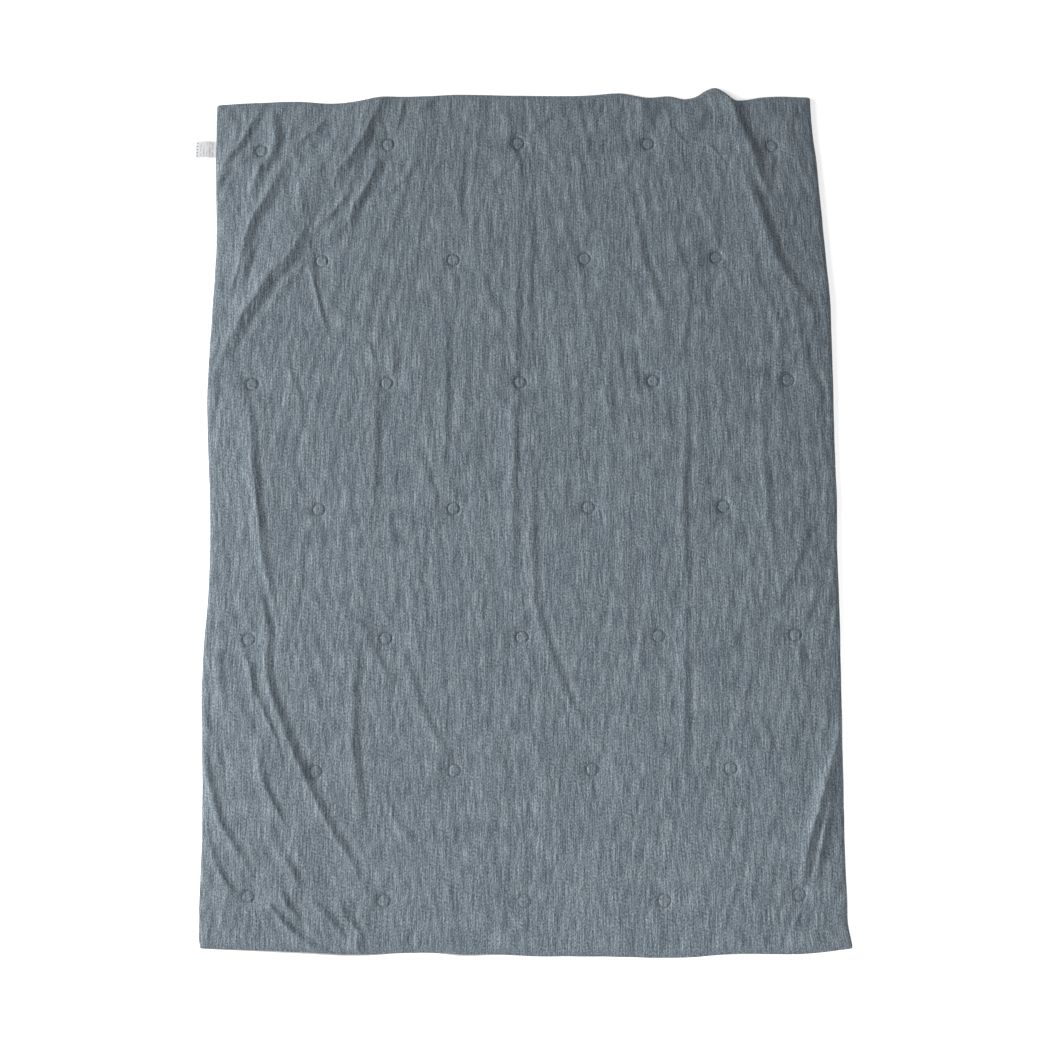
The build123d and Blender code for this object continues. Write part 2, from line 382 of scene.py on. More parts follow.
def fold_height(x, y, folds):
    """The height that the given folds add, in metres."""
    total = np.zeros(x.shape)
    for height, width, points in folds:
        w = width * MM
        p = np.array(points)
        reach = 4 * w
        inside = ((x > p[:, 0].min() - reach) & (x < p[:, 0].max() + reach)
                  & (y > p[:, 1].min() - reach) & (y < p[:, 1].max() + reach))
        side, along = to_line(x[inside], y[inside], points)
        taper = np.sin(np.pi * np.clip(along * 0.9 + 0.05, 0, 1)) ** 0.7
        ends = np.exp(-(np.maximum(np.abs(side) - 2.2 * w, 0) / w) ** 2)
        from_crest = side + 0.45 * w
        rounded = np.sqrt(from_crest ** 2 + (0.3 * w) ** 2) - 0.3 * w
        crest = np.exp(-rounded / np.where(from_crest < 0, 0.9 * w, 1.1 * w))
        trough = np.exp(-((side - 1.3 * w) / (0.9 * w)) ** 2)
        total[inside] += FOLD_GAIN * height * MM * taper * ends * (0.85 * crest - 0.30 * trough)
    return total


def swell_height(x, y):
    """The height of the broad swells, in metres."""
    total = np.zeros(x.shape)
    for height, left, right, points in SWELLS:
        side, along = to_line(x, y, points)
        wide = np.where(side < 0, left, right)
        taper = smoothstep(np.minimum(along / 0.12 + 0.3, (1 - along) / 0.25))
        total += height * MM * taper * np.exp(-(side / wide) ** 2)
    return total


def ripple_height(x, y):
    """Soft ripples that run down the quilt and turn round its corners."""
    bend = (BEND_LEFT + BEND_RIGHT) / 2 - (BEND_LEFT - BEND_RIGHT) / 2 * np.tanh(x / 0.2)
    across = x * (1 + bend * y * y)
    across = across + 0.012 * noise(x / 0.16 + 7, y / 0.22, 21)
    total = np.zeros(x.shape)
    for height, wide, long, seed in RIPPLES:
        soft = noise(across / wide, y / long, seed)
        ridged = 0.35 - np.abs(noise(across / wide + 31, y / long + 17, seed + 40))
        total += height * MM * (0.6 * soft + 0.8 * ridged)
    return total


def pucker_folds():
    """Short creases that run out of each tack, up and down the quilt more than across it."""
    rng = np.random.default_rng(PUCKER_SEED)
    folds = []
    for cx, cy in TACK_XY:
        for sign in (1, -1):
            for _ in range(2):
                angle = sign * math.pi / 2 + rng.normal(0, 0.45)
                start = TACK_RADIUS + 0.003
                length = rng.uniform(0.03, 0.075)
                bow = rng.normal(0, 0.008)
                c, s = math.cos(angle), math.sin(angle)
                points = [(cx + c * d - s * b, cy + s * d + c * b)
                          for d, b in ((start, 0), (start + length / 2, bow), (start + length, 0))]
                folds.append((rng.uniform(0.7, 1.5), rng.uniform(5, 7), points))
    return folds


PUCKERS = pucker_folds()


def tack_distance(x, y):
    """Distance to the nearest tack."""
    best = np.full(x.shape, 1e9)
    for cx, cy in TACK_XY:
        best = np.minimum(best, np.hypot(x - cx, y - cy))
    return best


def edge_distance(x, y):
    """Distance in from the nearest side of the plain rectangle."""
    return np.minimum(HALF_WIDTH - np.abs(x), HALF_LENGTH - np.abs(y))


def face_height(x, y):
    """Height of the face over the floor, before the edge rolls down."""
    d = tack_distance(x, y)
    pull = np.exp(-(d / DIP_RADIUS) ** 2)
    button = BUTTON_RISE * np.clip(1 - (d / (TACK_RADIUS * 0.93)) ** 4, 0, 1)
    groove = -GROOVE_DEPTH * np.exp(-((d - TACK_RADIUS) / GROOVE_WIDTH) ** 2)
    calm = 1 - np.exp(-(d / CALM_RADIUS) ** 4)
    folds = ripple_height(x, y) + fold_height(x, y, FOLDS) + fold_height(x, y, PUCKERS)
    shape = folds + swell_height(x, y)
    filling = 2 * smoothstep(0.5 + 0.5 * edge_distance(x, y) / EDGE_SPAN) - 1
    loft = EDGE_LOFT + (LOFT - EDGE_LOFT) * filling
    height = loft - TACK_DIP * pull + button + groove + calm * shape
    over = np.maximum(height - FIRM_HEIGHT, 0)
    return np.where(over > 0, FIRM_HEIGHT + FIRM_REACH * np.tanh(over / FIRM_REACH), height)


def side_shift(x, y):
    """Where a point of the plain rectangle lies on the floor once the quilt is laid."""
    to_left = smoothstep(1 - (HALF_WIDTH + x) / EDGE_REACH)
    to_right = smoothstep(1 - (HALF_WIDTH - x) / EDGE_REACH)
    to_foot = smoothstep(1 - (HALF_LENGTH + y) / EDGE_REACH)
    to_head = smoothstep(1 - (HALF_LENGTH - y) / EDGE_REACH)
    new_x = x + MM * (to_right * curve(RIGHT_EDGE, y) - to_left * curve(LEFT_EDGE, y))
    new_y = y + MM * (to_head * curve(HEAD_EDGE, x) - to_foot * curve(FOOT_EDGE, x))
    return new_x, new_y


def round_corners(x, y):
    """Rounds the rectangle's four corners by pressing a square onto a disc."""
    a = np.clip((np.abs(x) - HALF_WIDTH + CORNER_RADIUS) / CORNER_RADIUS, 0, 1)
    b = np.clip((np.abs(y) - HALF_LENGTH + CORNER_RADIUS) / CORNER_RADIUS, 0, 1)
    in_x = a * (1 - np.sqrt(1 - b * b / 2)) * CORNER_RADIUS
    in_y = b * (1 - np.sqrt(1 - a * a / 2)) * CORNER_RADIUS
    return x - np.sign(x) * in_x, y - np.sign(y) * in_y


def roll_out(x, y):
    """How far the back shows outside the seam at the nearest edge, in metres."""
    at_foot = smoothstep(1 - (HALF_LENGTH + y) / 0.03)
    foot = np.maximum(curve(FOOT_ROLL, x) + 0.6 * noise(x / 0.05, y * 0, 61), 0.5)
    side = SIDE_ROLL * (1 + 0.6 * noise(x / 0.07 + y / 0.07, y * 0, 62))
    return MM * (at_foot * foot + (1 - at_foot) * side)


def seam_height(x, y):
    """Height of the seam over the floor."""
    return SEAM_HEIGHT + 0.8 * MM * noise(x / 0.06, y / 0.06, 63)


def inset(x, y, amount, beyond_x=0, beyond_y=0):
    """Moves points inward from the nearest side, and turns the allowance back under."""
    by_x = amount * smoothstep(1 - (HALF_WIDTH - np.abs(x)) / 0.03) + beyond_x
    by_y = amount * smoothstep(1 - (HALF_LENGTH - np.abs(y)) / 0.03) + beyond_y
    return x - np.sign(x) * by_x, y - np.sign(y) * by_y


def graded(half, pitch, fine, beyond):
    """Stations across the quilt, close together at the edges and with a turned-in allowance."""
    steps = []
    at = 0.0
    step = fine
    while at < 0.05:
        steps.append(at)
        at += step
        step = min(step * 1.18, pitch)
    inner = half - at
    count = max(2, round(2 * inner / pitch))
    middle = np.linspace(-inner, inner, count + 1)
    left = -half + np.array(steps)
    allowance = -half - np.array(beyond)[::-1]
    return np.concatenate([allowance, left, middle, -left[::-1], -allowance[::-1]])


def grid_faces(nx, ny):
    """The quads of a grid whose points go row by row, nx to a row."""
    i = (np.arange(ny - 1)[:, None] * nx + np.arange(nx - 1)[None, :]).ravel()
    return np.stack([i, i + 1, i + nx + 1, i + nx], axis=1)


def grid_mesh(name, xs, ys):
    """A flat grid of quads."""
    gx, gy = np.meshgrid(xs, ys)
    verts = np.stack([gx.ravel(), gy.ravel(), np.zeros(gx.size)], axis=1)
    mesh = bpy.data.meshes.new(name)
    mesh.from_pydata(verts.tolist(), [], grid_faces(len(xs), len(ys)).tolist())
    return mesh


def coordinates(mesh):
    """The mesh's vertices as rows of x, y and z."""
    co = np.zeros(len(mesh.vertices) * 3)
    mesh.vertices.foreach_get("co", co)
    return co.reshape(-1, 3)


def place(mesh, flat, points):
    """Moves the vertices and keeps where each lies on the flat cloth, for its weave."""
    weave = mesh.attributes.new("weave", "FLOAT_VECTOR", "POINT")
    weave.data.foreach_set("vector", flat.astype(np.float32).ravel())
    mesh.vertices.foreach_set("co", points.astype(np.float32).ravel())
    mesh.update()
    mesh.shade_smooth()


def near_tacks(x, y, radius):
    """Whether each point is close to a tack."""
    return tack_distance(x, y) < radius


def near_folds(x, y, reach):
    """Whether each point is beside a sharp fold or crease, clear of the tacks and edges."""
    near = np.zeros(x.shape, bool)
    for height, width, points in FOLDS:
        if height >= SHARP_FOLD or width <= CREASE_WIDTH:
            side, _ = to_line(x, y, points)
            near |= np.abs(side + 0.002) < reach
    return near & (tack_distance(x, y) > 0.036) & (edge_distance(x, y) > 0.05)


def refine(mesh, chosen, reach, cuts):
    """Cuts up the grid where it is chosen, so that a ring or a crest is sharp."""
    bm = bmesh.new()
    bm.from_mesh(mesh)
    co = np.array([v.co[:2] for v in bm.verts])
    near = chosen(co[:, 0], co[:, 1], reach)
    edges = [e for e in bm.edges if near[e.verts[0].index] and near[e.verts[1].index]]
    bmesh.ops.subdivide_edges(bm, edges=edges, cuts=cuts, use_grid_fill=True)
    bm.to_mesh(mesh)
    bm.free()


def new_object(name, data):
    """An object for a mesh or a light, in the scene."""
    obj = bpy.data.objects.new(name, data)
    bpy.context.scene.collection.objects.link(obj)
    return obj


def shaped_object(name, points, faces, flat):
    """An object from points, faces and where each point lies on its flat cloth."""
    mesh = bpy.data.meshes.new(name)
    mesh.from_pydata(points.tolist(), [], faces)
    place(mesh, flat, points)
    return new_object(name, mesh)


def on_edge(x, y):
    """The nearest point inside the seam line, and how far outside it each point is, both ways."""
    inner_x = np.clip(x, -HALF_WIDTH, HALF_WIDTH)
    inner_y = np.clip(y, -HALF_LENGTH, HALF_LENGTH)
    return inner_x, inner_y, np.abs(x - inner_x), np.abs(y - inner_y)


def face_points(flat):
    """The laid shape of the face for points of its flat cloth, seam allowance included."""
    x, y, beyond_x, beyond_y = on_edge(flat[:, 0], flat[:, 1])
    d = edge_distance(x, y)
    seam = seam_height(x, y)
    top = face_height(x, y)
    rise = np.sqrt(np.clip(1 - (1 - np.clip(d / ROLL_WIDTH, 0, 1)) ** 2.4, 0, 1))
    z = seam + (top - seam) * rise
    z = np.where(beyond_x + beyond_y > 0, seam - 0.35 * MM, np.maximum(z, seam))
    px, py = inset(x, y, roll_out(x, y), beyond_x, beyond_y)
    px, py = side_shift(*round_corners(px, py))
    return np.stack([px, py, z], axis=1)


def back_points(flat):
    """The laid shape of the back: flat on the floor, rolled up to the seam at its edges."""
    x, y, beyond_x, beyond_y = on_edge(flat[:, 0], flat[:, 1])
    d = edge_distance(x, y)
    t = np.clip(d / BACK_RIM, 0, 1)
    out = roll_out(x, y)
    seam = seam_height(x, y)
    dip = tack_distance(x, y)
    under = FLOOR_GAP + 1.6 * MM * np.exp(-(dip / 0.03) ** 2)
    waves = 0.5 * MM * np.clip(ripple_height(x, y) / (2 * MM), 0, 1.5)
    under = under + waves * smoothstep((d - BACK_RIM) / 0.03)
    middle = (seam + under) / 2
    z = middle + (seam - under) / 2 * np.cos(np.pi * t)
    z = np.where(beyond_x + beyond_y > 0, seam - 0.7 * MM, z)
    px, py = inset(x, y, out * (1 - np.sin(np.pi * t)) * (t < 1) + out * (t >= 1), beyond_x, beyond_y)
    px, py = side_shift(*round_corners(px, py))
    return np.stack([px, py, z], axis=1)


def make_face():
    """The heather face, with its folds, and settled by the simulation."""
    xs = graded(HALF_WIDTH, FACE_PITCH[0], FACE_EDGE_PITCH, ALLOWANCE_ROWS)
    ys = graded(HALF_LENGTH, FACE_PITCH[1], FACE_EDGE_PITCH, ALLOWANCE_ROWS)
    mesh = grid_mesh("face_fabric", xs, ys)
    refine(mesh, near_folds, FOLD_CUT_REACH, 1)
    refine(mesh, near_tacks, FACE_TACK_CUT, 3)
    flat = coordinates(mesh)
    place(mesh, flat, face_points(flat))
    piece = new_object("face_fabric", mesh)
    settle(piece, flat)
    return piece


def settle(piece, flat):
    """Lets the slack jersey buckle on the batt, by a short cloth simulation.

    The cloth starts stretched out to its slack size and is pushed in to the laid shape. It is held
    fast at the tacks and edges, and everywhere else by weak springs that stand for the batt.
    """
    mesh = piece.data
    laid = coordinates(mesh)
    piece.shape_key_add(name="laid")
    slack = piece.shape_key_add(name="slack")
    stretched = laid * (1 + SLACK_ACROSS, 1 + SLACK_ALONG, 1)
    slack.data.foreach_set("co", stretched.astype(np.float32).ravel())
    slack.value = 1
    slack.keyframe_insert("value", frame=1)
    slack.value = 0
    slack.keyframe_insert("value", frame=PUSH_FRAMES)
    near_tack = 1 - smoothstep((tack_distance(flat[:, 0], flat[:, 1]) - 0.016) / 0.008)
    near_edge = 1 - smoothstep((edge_distance(flat[:, 0], flat[:, 1]) - 0.006) / 0.016)
    firm = np.maximum(near_tack, near_edge)
    held = np.maximum(firm, BATT_HOLD).round(2)
    group = piece.vertex_groups.new(name="held")
    for level in np.unique(held):
        group.add(np.flatnonzero(held == level).tolist(), float(level), "REPLACE")
    cloth = piece.modifiers.new("cloth", "CLOTH")
    settings = cloth.settings
    settings.vertex_group_mass = "held"
    settings.pin_stiffness = 1
    settings.quality = 4
    settings.mass = 0.03
    settings.air_damping = 2
    settings.tension_stiffness = 15
    settings.compression_stiffness = 15
    settings.shear_stiffness = 4
    settings.bending_stiffness = BEND_STIFFNESS
    settings.effector_weights.gravity = 0
    cloth.collision_settings.use_collision = False
    cloth.collision_settings.use_self_collision = False
    cloth.point_cache.frame_start = 1
    cloth.point_cache.frame_end = SETTLE_FRAMES
    scene = bpy.context.scene
    for step in range(1, SETTLE_FRAMES + 1):
        scene.frame_set(step)
    settled = coordinates(piece.evaluated_get(bpy.context.evaluated_depsgraph_get()).data)
    scene.frame_set(1)
    piece.modifiers.clear()
    piece.shape_key_clear()
    piece.vertex_groups.clear()
    shift = settled - laid
    reach = np.linalg.norm(shift, axis=1, keepdims=True)
    shift *= np.minimum(1, SETTLE_REACH / np.maximum(reach, 1e-9))
    mesh.vertices.foreach_set("co", (laid + shift).astype(np.float32).ravel())
    mesh.update()


def make_back():
    """The white back, rolled up to the seam."""
    xs = graded(HALF_WIDTH, BACK_PITCH, BACK_EDGE_PITCH, ALLOWANCE_ROWS)
    ys = graded(HALF_LENGTH, BACK_PITCH, BACK_EDGE_PITCH, ALLOWANCE_ROWS)
    mesh = grid_mesh("back_fabric", xs, ys)
    refine(mesh, near_tacks, BACK_TACK_CUT, 1)
    flat = coordinates(mesh)
    place(mesh, flat, back_points(flat))
    mesh.flip_normals()
    return new_object("back_fabric", mesh)


class Nodes:
    """A short way to write a material's nodes."""

    def __init__(self, name):
        self.material = bpy.data.materials.new(name)
        self.material.use_nodes = True
        self.tree = self.material.node_tree
        self.shader = self.tree.nodes["Principled BSDF"]

    def add(self, kind, inputs=None, **settings):
        """A node with its settings, and with its inputs set or linked."""
        node = self.tree.nodes.new(kind)
        for key, value in settings.items():
            setattr(node, key, value)
        for key, value in (inputs or {}).items():
            self.set(node, key, value)
        return node

    def set(self, node, key, value):
        if isinstance(value, bpy.types.NodeSocket):
            self.tree.links.new(value, node.inputs[key])
        else:
            node.inputs[key].default_value = value

    def noise(self, vector, scale, detail, roughness):
        """Flat noise, with its scale across and along the cloth."""
        stretched = self.add("ShaderNodeVectorMath", {0: vector, 1: scale}, operation="MULTIPLY")
        inputs = {"Vector": stretched.outputs[0], "Scale": 1.0, "Detail": detail, "Roughness": roughness}
        return self.add("ShaderNodeTexNoise", inputs, noise_dimensions="2D").outputs["Fac"]

    def math(self, operation, a, b, c=0.0):
        return self.add("ShaderNodeMath", {0: a, 1: b, 2: c}, operation=operation).outputs[0]

    def ramp(self, value, stops):
        """A colour that goes through the stops."""
        ramp = self.add("ShaderNodeValToRGB", {"Fac": value})
        while len(ramp.color_ramp.elements) < len(stops):
            ramp.color_ramp.elements.new(0.5)
        for element, (position, colour) in zip(ramp.color_ramp.elements, stops):
            element.position = position
            element.color = (*colour, 1.0)
        return ramp.outputs["Color"]

    def finish(self, **shader):
        """Sets the shader's own sockets and gives the material."""
        for key, value in shader.items():
            self.set(self.shader, key.replace("_", " ").title().replace("Ior", "IOR"), value)
        return self.material


# How far the heather's threads wander, in metres, and how far its grain is turned, in radians.
THREAD_WANDER = 0.014
GRAIN_TURN = 0.35


def srgb(*values):
    """Linear colour from 8-bit display values."""
    return tuple(((v / 255 + 0.055) / 1.055) ** 2.4 for v in values)


def weave_vector(nodes):
    """Where each point lies on the flat cloth, in metres."""
    return nodes.add("ShaderNodeAttribute", attribute_name="weave").outputs["Vector"]


def heather():
    """Brushed heather jersey: light and dark threads that run along the quilt, and a fine grain.

    The threads wander a little and the grain's pattern is turned, so neither makes bands.
    """
    n = Nodes("heather")
    at = weave_vector(n)
    wander = n.math("MULTIPLY", n.noise(at, (9, 5, 1), 2, 0.5), THREAD_WANDER)
    shift = n.add("ShaderNodeCombineXYZ", {"X": wander})
    threads = n.add("ShaderNodeVectorMath", {0: at, 1: shift.outputs[0]}, operation="ADD").outputs[0]
    rotated = n.add("ShaderNodeVectorRotate", {"Vector": at, "Angle": GRAIN_TURN}, rotation_type="Z_AXIS")
    turned = rotated.outputs[0]
    hairs = n.noise(threads, (480, 21, 1), 1, 0.5)
    fibres = n.noise(threads, (300, 27, 1), 1, 0.5)
    strands = n.noise(threads, (180, 10, 1), 1, 0.5)
    grain = n.noise(turned, (320, 215, 1), 1, 0.5)
    broad = n.noise(threads, (26, 4, 1), 2, 0.5)
    mix = n.math("MULTIPLY_ADD", hairs, 0.32, n.math("MULTIPLY", fibres, 0.13))
    mix = n.math("MULTIPLY_ADD", strands, 0.10, mix)
    mix = n.math("MULTIPLY_ADD", grain, 0.35, mix)
    mix = n.math("MULTIPLY_ADD", broad, 0.07, mix)
    colour = n.ramp(mix, [
        (0.333, srgb(62, 72, 82)),
        (0.443, srgb(92, 103, 112)),
        (0.533, srgb(120, 131, 139)),
        (0.643, srgb(154, 164, 171)),
    ])
    ridges = n.math("MULTIPLY", n.noise(threads, (150, 24, 1), 2, 0.5), 0.45)
    relief = n.math("MULTIPLY_ADD", mix, 0.4, ridges)
    bump = n.add("ShaderNodeBump", {"Height": relief, "Strength": 1.0, "Distance": 1.0 * MM})
    return n.finish(base_color=colour, roughness=0.9, normal=bump.outputs[0], sheen_weight=0.12,
                    sheen_roughness=0.5)


def white_back():
    """Brushed white microfibre, its colour greyed a little as painted shade, so that the rolled rim at the
    foot shows as a shaded line on the white floor.
    """
    n = Nodes("white_back")
    at = weave_vector(n)
    fibres = n.noise(at, (900, 900, 1), 3, 0.6)
    broad = n.noise(at, (14, 9, 1), 2, 0.5)
    mix = n.math("MULTIPLY_ADD", fibres, 0.7, n.math("MULTIPLY", broad, 0.3))
    # Greyer than the white cloth itself: painted shade, so the rim reads as a shaded line against the
    # floor.
    colour = n.ramp(mix, [(0.3, srgb(188, 189, 191)), (0.7, srgb(214, 214, 213))])
    bump = n.add("ShaderNodeBump", {"Height": mix, "Strength": 0.4, "Distance": 0.3 * MM})
    return n.finish(base_color=colour, roughness=0.85, normal=bump.outputs[0], sheen_weight=0.2)


def under_face(face, x, y):
    """The lowest height of the face close round each point."""
    mesh = face.data
    surface = BVHTree.FromPolygons(coordinates(mesh).tolist(), [tuple(p.vertices) for p in mesh.polygons])
    down = Vector((0, 0, -1))
    reach = 5.0 * MM
    low = np.full(x.shape, 1.0)
    for dx, dy in ((-1, -1), (1, -1), (1, 1), (-1, 1)):
        hits = [surface.ray_cast((px + dx * reach, py + dy * reach, 0.2), down)[0] for px, py in zip(x, y)]
        low = np.minimum(low, [hit.z if hit else SEAM_HEIGHT for hit in hits])
    return low


def make_batting(face):
    """The batt inside: it follows the face from below and rests on the back."""
    xs = np.linspace(-HALF_WIDTH + BATT_MARGIN, HALF_WIDTH - BATT_MARGIN, BATT_COLUMNS)
    ys = np.linspace(-HALF_LENGTH + BATT_MARGIN, HALF_LENGTH - BATT_MARGIN, BATT_ROWS)
    gx, gy = np.meshgrid(xs, ys)
    flat = np.stack([gx.ravel(), gy.ravel(), np.zeros(gx.size)], axis=1)
    px, py = side_shift(gx.ravel(), gy.ravel())
    low = back_points(flat)[:, 2] + 0.5 * MM
    squeeze = 2.5 * MM * np.exp(-(tack_distance(gx, gy).ravel() / 0.024) ** 4)
    high = np.maximum(under_face(face, px, py) - BATT_CLEARANCE - squeeze, low + BATT_THIN)
    edge = edge_distance(gx, gy).ravel() <= BATT_MARGIN * 1.001
    high = np.where(edge, low + BATT_THIN, high)
    top = np.stack([px, py, high], axis=1)
    bottom = np.stack([px, py, low], axis=1)
    nx, ny = len(xs), len(ys)
    up = grid_faces(nx, ny)
    rim = np.concatenate([np.arange(nx), np.arange(1, ny) * nx + nx - 1,
                          (ny - 1) * nx + np.arange(nx - 2, -1, -1), np.arange(ny - 2, 0, -1) * nx])
    after = np.roll(rim, -1)
    count = nx * ny
    side = np.stack([rim, rim + count, after + count, after], axis=1)
    faces = np.concatenate([up, up[:, ::-1] + count, side])
    points = np.concatenate([top, bottom])
    return shaped_object("batting", points, faces.tolist(), np.concatenate([flat, flat]))


def stitches(paths, radius, sides=6, rings=5):
    """Thread stitches as small bowed tubes. Each path is (start, end, bow, normal)."""
    turn = np.linspace(0, 2 * math.pi, sides, endpoint=False)
    along = np.linspace(0, 1, rings)
    swell = np.sqrt(np.clip(1 - (2 * along - 1) ** 4, 0.12, 1))
    points, faces = [], []
    for start, end, bow, normal in paths:
        start, end, normal = np.array(start), np.array(end), np.array(normal)
        run = end - start
        side = np.cross(run, normal)
        side /= np.linalg.norm(side)
        base = len(points) * rings * sides
        centre = start + along[:, None] * run + (4 * along * (1 - along))[:, None] * bow * normal
        ring = np.cos(turn)[None, :, None] * side + np.sin(turn)[None, :, None] * normal
        points.append(centre[:, None, :] + radius * swell[:, None, None] * ring)
        for r in range(rings - 1):
            for k in range(sides):
                a = base + r * sides + k
                b = base + r * sides + (k + 1) % sides
                faces.append((a, b, b + sides, a + sides))
        faces.append(tuple(range(base + sides - 1, base - 1, -1)))
        faces.append(tuple(range(base + (rings - 1) * sides, base + rings * sides)))
    return np.concatenate([p.reshape(-1, 3) for p in points]), faces


def stitch_object(name, paths, radius, **shape):
    """One object of many stitches."""
    points, faces = stitches(paths, radius, **shape)
    return shaped_object(name, points, faces, points)


def stitch_runs(points, gap, bow, normal):
    """One stitch between each two neighbouring points, with a small gap at its ends."""
    pairs = zip(points[:-1], points[1:])
    return [(a + gap * (b - a), b - gap * (b - a), bow, normal) for a, b in pairs]


def ring_stitches(centre, turns, radius, surface, lift, bow):
    """The lockstitches of one ring, following a surface: its points, then its height."""
    count = 36
    angle = np.linspace(0, 2 * math.pi * turns, round(count * turns) + 1)
    r = radius + 0.35 * MM * np.sin(5.3 * angle)
    x = centre[0] + r * np.cos(angle)
    y = centre[1] + r * np.sin(angle)
    points = surface(np.stack([x, y, np.zeros(x.size)], axis=1))
    points[:, 2] += lift
    normal = (0, 0, 1) if bow > 0 else (0, 0, -1)
    return stitch_runs(points, 0.06, abs(bow), normal)


def make_tack(node):
    """One ring tack: lockstitches on the face and back, and the threads through the batt."""
    centre = TACKS[node]
    top = ring_stitches(centre, 1.35, TACK_RADIUS, face_points, 0.15 * MM, 0.35 * MM)
    under = ring_stitches(centre, 1.0, TACK_RADIUS, back_points, -0.05 * MM, -0.25 * MM)
    angle = np.linspace(0, 2 * math.pi, 36, endpoint=False)
    outward = np.stack([np.cos(angle), np.sin(angle), np.zeros(angle.size)], axis=1)
    at = np.array([*centre, 0.0]) + TACK_RADIUS * outward
    legs = [(low, high, 0.0, way) for low, high, way in zip(back_points(at), face_points(at), outward)]
    tack = stitch_object("stitches_" + node, top + under + legs, 0.42 * MM, sides=5, rings=4)
    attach(tack, "quilt")
    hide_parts(node)
    per_stitch = 5 * 3 + 2
    face_faces = len(top) * per_stitch
    back_faces = face_faces + len(under) * per_stitch
    slots = np.zeros(len(tack.data.polygons), int)
    slots[face_faces:back_faces] = 1
    return tack, slots


def seam_line(start, end, pitch):
    """Points along the seam from one flat point of the edge to another."""
    start, end = np.array(start), np.array(end)
    count = max(2, round(np.linalg.norm(end - start) / pitch))
    flat = start + np.linspace(0, 1, count + 1)[:, None] * (end - start)
    return np.concatenate([flat, np.zeros((len(flat), 1))], axis=1)


def make_edge_seam():
    """The machine seam round the edge, open over the turning gap."""
    w, h = HALF_WIDTH - 0.4 * MM, HALF_LENGTH - 0.4 * MM
    route = [(GAP_LOW.x, -h), (-w, -h), (-w, h), (w, h), (w, -h), (GAP_HIGH.x, -h)]
    paths = []
    for start, end in zip(route[:-1], route[1:]):
        points = face_points(seam_line(start, end, 3.5 * MM))
        points[:, 2] -= 0.25 * MM
        paths += stitch_runs(points, 0.1, 0.1 * MM, (0, 0, 1))
    return stitch_object("edge_seam_stitches", paths, 0.22 * MM, sides=4, rings=3)


def make_closing_seam():
    """The turning gap, whipped shut by hand with slanted stitches."""
    h = HALF_LENGTH - 0.2 * MM
    points = face_points(seam_line((GAP_LOW.x, -h), (GAP_HIGH.x, -h), 4 * MM))
    paths = []
    for a, b in zip(points[:-1], points[1:]):
        inner = a + (0, 2.2 * MM, 0.9 * MM)
        outer = b - (0, 0.8 * MM, 0.4 * MM)
        paths.append((inner, outer, 0.4 * MM, (0, 0, 1)))
    return stitch_object("closing_seam_stitches", paths, 0.28 * MM, sides=5, rings=5)


def make_label():
    """The care label: one satin ribbon, sewn in at the edge and folded back on itself."""
    middle = (LABEL_LOW.y + LABEL_HIGH.y) / 2
    half = (LABEL_HIGH.y - LABEL_LOW.y) / 2
    root = -HALF_WIDTH + LABEL_ROOT
    tip = LABEL_LOW.x + 3 * MM
    out = np.linspace(root, tip, 44)
    fold = 0.5 * MM
    bend = np.linspace(-math.pi / 2, math.pi / 2, 7)[1:-1]
    s = np.clip((root - out) / (root - tip), 0, 1)
    wave = 1.3 * MM * smoothstep(np.clip((HINGE[0] - out) / 0.02, 0, 1)) * np.sin(s * 3.4)
    top_z = HINGE[2] + 0.35 * MM + wave
    low_z = HINGE[2] - 0.35 * MM + 0.55 * wave
    x = np.concatenate([out, tip - fold * np.cos(bend), out[::-1]])
    z_end = (top_z[-1] + low_z[-1]) / 2
    r_end = (top_z[-1] - low_z[-1]) / 2
    z = np.concatenate([top_z, z_end - r_end * np.sin(bend), low_z[::-1]])
    length = np.concatenate([[0], np.cumsum(np.hypot(np.diff(x), np.diff(z)))])
    across = np.linspace(-1, 1, 33)
    gx, ga = np.meshgrid(x, across, indexing="ij")
    gz = np.repeat(z[:, None], len(across), axis=1)
    reach = np.clip((HINGE[0] - gx) / (HINGE[0] - tip), 0, 1)
    gz = gz + reach * 1.1 * MM * ga ** 2 + reach * 0.5 * MM * np.sin(7 * ga + 5 * reach)
    gy = middle + ga * half + reach * 0.8 * MM * np.sin(3.0 * reach)
    gx = gx + reach * 1.5 * MM * ga * (ga > 0)
    points = np.stack([gx.ravel(), gy.ravel(), np.maximum(gz.ravel(), 0.5 * MM)], axis=1)
    flat_x = np.repeat(length, len(across))
    flat_y = np.tile(across * half, len(x))
    flat = np.stack([flat_x, flat_y, np.zeros(gx.size)], axis=1)
    label = shaped_object("care_ribbon", points, grid_faces(len(across), len(x)).tolist(), flat)
    label.data.materials.append(satin())
    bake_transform(label)
    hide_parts("care_label", "care_label_root")


def thread(name, colour):
    """Spun thread with a fine twist."""
    n = Nodes(name)
    at = weave_vector(n)
    twist = n.noise(at, (2500, 2500, 1), 2, 0.5)
    dark = tuple(0.8 * c for c in colour)
    bump = n.add("ShaderNodeBump", {"Height": twist, "Strength": 0.5, "Distance": 0.1 * MM})
    shade = n.ramp(twist, [(0.35, dark), (0.65, colour)])
    return n.finish(base_color=shade, roughness=0.7, normal=bump.outputs[0], sheen_weight=0.1)


def wadding():
    """Soft white fibre."""
    n = Nodes("wadding")
    at = weave_vector(n)
    fibres = n.noise(at, (400, 400, 1), 5, 0.7)
    bump = n.add("ShaderNodeBump", {"Height": fibres, "Strength": 0.8, "Distance": 1.0 * MM})
    colour = n.ramp(fibres, [(0.3, srgb(215, 216, 216)), (0.7, srgb(246, 246, 244))])
    return n.finish(base_color=colour, roughness=1.0, normal=bump.outputs[0], sheen_weight=0.3)


